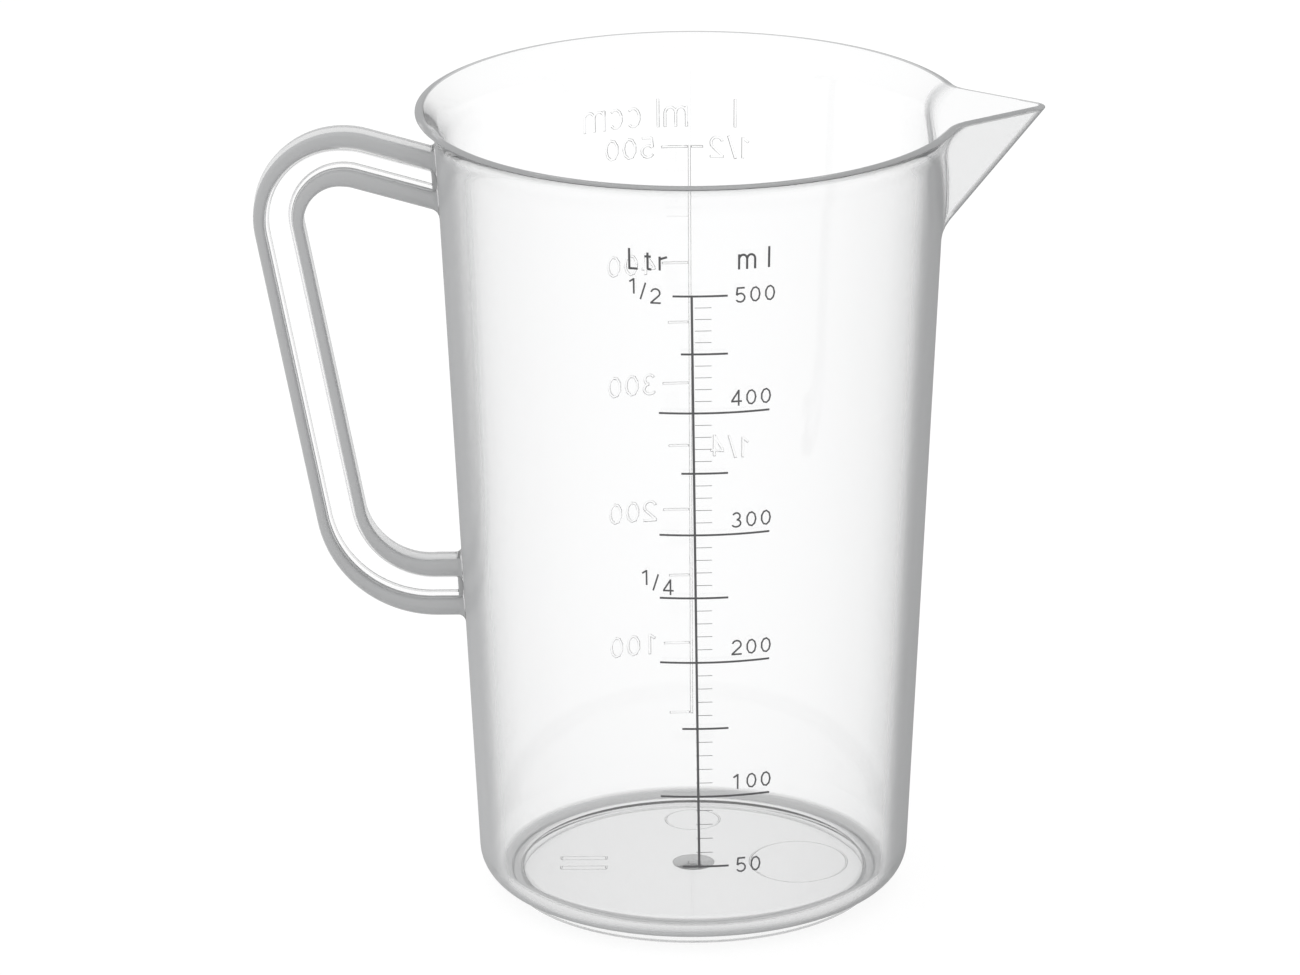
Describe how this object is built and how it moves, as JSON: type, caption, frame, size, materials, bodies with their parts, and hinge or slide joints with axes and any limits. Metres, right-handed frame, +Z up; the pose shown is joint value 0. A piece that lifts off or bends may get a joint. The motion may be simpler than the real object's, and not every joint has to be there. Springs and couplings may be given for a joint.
{
  "type": "measuring jug",
  "caption": "Tapered measuring jug in translucent plastic with a rolled rim, V-shaped pouring spout, D-shaped I-section handle, printed scale and raised scale.",
  "frame": {"origin": "on the axis of the jug's round body, in the plane of the foot ring that it stands on", "axes": "+Z up along the body's axis, +X towards the spout's tip, -X towards the handle, -Y towards the printed scale, +Y towards the raised scale"},
  "size_m": [0.1312, 0.0912, 0.1361],
  "materials": {
    "clear_plastic": "natural translucent polypropylene, smooth moulded gloss",
    "handle_plastic": "natural translucent polypropylene, smooth moulded gloss",
    "raised_plastic": "raised marks in the same translucent polypropylene",
    "printed_ink": "thin dark grey printed ink"
  },
  "bodies": {
    "root": {"body_wall": "clear_plastic", "base_corner": "clear_plastic", "floor_disc": "clear_plastic", "foot_ring": "clear_plastic", "rim_lip": "clear_plastic", "spout": "clear_plastic", "handle_outer_flange": "handle_plastic", "handle_inner_flange": "handle_plastic", "handle_web": "handle_plastic", "printed_line": "printed_ink", "printed_marks": "printed_ink", "printed_fine_marks": "printed_ink", "printed_numerals": "printed_ink", "printed_headings": "printed_ink", "moulded_rib": "raised_plastic", "moulded_marks": "raised_plastic", "moulded_numerals": "raised_plastic", "moulded_headings": "raised_plastic", "gate_pad": "raised_plastic", "ring_mark": "raised_plastic", "oval_mark": "raised_plastic", "bar_marks": "raised_plastic"}
  },
  "joints": []
}
